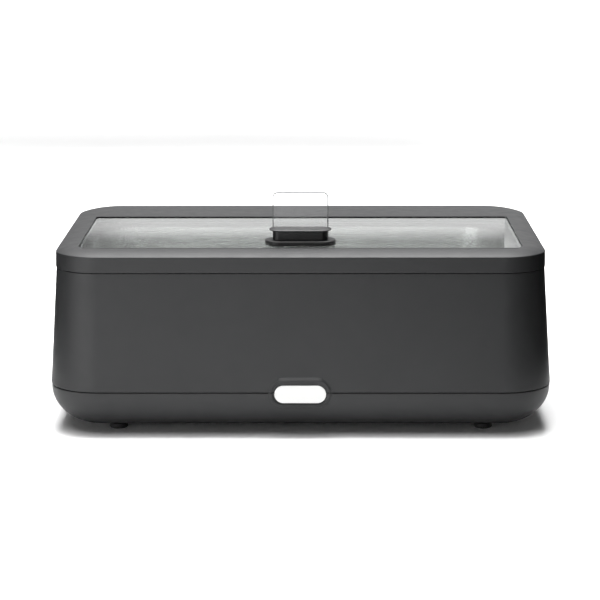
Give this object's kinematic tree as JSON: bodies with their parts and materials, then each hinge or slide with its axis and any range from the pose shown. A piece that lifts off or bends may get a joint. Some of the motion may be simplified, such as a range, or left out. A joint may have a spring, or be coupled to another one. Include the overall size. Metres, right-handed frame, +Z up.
{
  "type": "electric chafing dish",
  "caption": "Table-top electric food warmer with a drafted casing, hinged glass-window lid, label holder, water pan, standard food pan and rear controls.",
  "frame": {"origin": "on the standing surface, under the middle of the casing's overall box", "axes": "+Z up, +X to the right seen from the front, the front faces -Y"},
  "size_m": [0.587, 0.3852, 0.2745],
  "materials": {
    "casing": "charcoal, fine moulded grain",
    "black_plastic": "satin black",
    "rubber": "matte",
    "silicone": "matte grey silicone",
    "stainless": "satin stainless sheet",
    "steel": "zinc-plated",
    "hinge_black": "black powder coat",
    "aluminium": "rolled sheet",
    "brass": "nickel-brushed brass",
    "glass": "clear tempered sheet",
    "clear_plastic": "clear acrylic",
    "badge_white": "white, slightly glossy",
    "amber_lens": "amber lens",
    "phenolic": "brown moulded resin",
    "wire_red": "wire insulation",
    "wire_green": "wire insulation",
    "wire_blue": "wire insulation"
  },
  "bodies": {
    "root": {"base_tray": "casing", "body_shell": "casing", "control_panel": "casing", "badge_plate": "badge_white", "foot_front_left": "rubber", "foot_front_right": "rubber", "foot_rear_left": "rubber", "foot_rear_right": "rubber", "foot_screw_front_left": "steel", "foot_screw_front_right": "steel", "foot_screw_rear_left": "steel", "foot_screw_rear_right": "steel", "water_pan": "stainless", "food_pan": "stainless", "water_pan_seal": "silicone", "heater_plate": "aluminium", "heating_element": "steel", "element_clamp": "steel", "thermal_cutout": "phenolic", "heat_shield": "aluminium", "thermostat_housing": "phenolic", "thermostat_bulb": "brass", "switch_housing": "black_plastic", "pilot_lens": "amber_lens", "mains_inlet": "black_plastic", "inlet_pin_live": "brass", "inlet_pin_earth": "brass", "inlet_pin_neutral": "brass", "terminal_block": "badge_white", "wire_live": "wire_red", "wire_earth": "wire_green", "wire_neutral": "wire_blue", "hinge_bracket_left": "hinge_black", "hinge_bracket_right": "hinge_black", "hinge_pin_left": "steel", "hinge_pin_right": "steel", "bracket_screw_left_1": "steel", "bracket_screw_left_2": "steel", "bracket_screw_right_1": "steel", "bracket_screw_right_2": "steel"},
    "lid": {"lid_frame": "casing", "window_pane": "glass", "window_seal": "rubber", "window_retainer": "casing", "lid_seal": "silicone", "handle_base": "black_plastic", "handle_cap": "black_plastic", "handle_backing": "steel", "handle_screw_1": "steel", "handle_screw_2": "steel", "hinge_leaf_left": "hinge_black", "hinge_leaf_right": "hinge_black", "leaf_screw_left_1": "steel", "leaf_screw_left_2": "steel", "leaf_screw_right_1": "steel", "leaf_screw_right_2": "steel"},
    "label": {"label_plate": "clear_plastic"},
    "knob": {"thermostat_knob": "black_plastic", "thermostat_shaft": "steel"},
    "rocker": {"power_rocker": "black_plastic"}
  },
  "joints": [
    {"name": "lid_hinge", "type": "hinge", "parent": "root", "child": "lid", "pos_m": [0, 0.1886, 0.193], "axis": [-1, 0, 0], "range_deg": [0, 95]},
    {"name": "label_lift", "type": "slide", "parent": "lid", "child": "label", "axis": [0, 0, 1], "range_m": [0, 0.05]},
    {"name": "knob_turn", "type": "hinge", "parent": "root", "child": "knob", "pos_m": [-0.062, 0.175, 0.083], "axis": [0, 1, 0], "range_deg": [0, 270]},
    {"name": "rocker_tilt", "type": "hinge", "parent": "root", "child": "rocker", "pos_m": [0.004, 0.17273, 0.083], "axis": [0, 0, 1], "range_deg": [0, 16]}
  ]
}
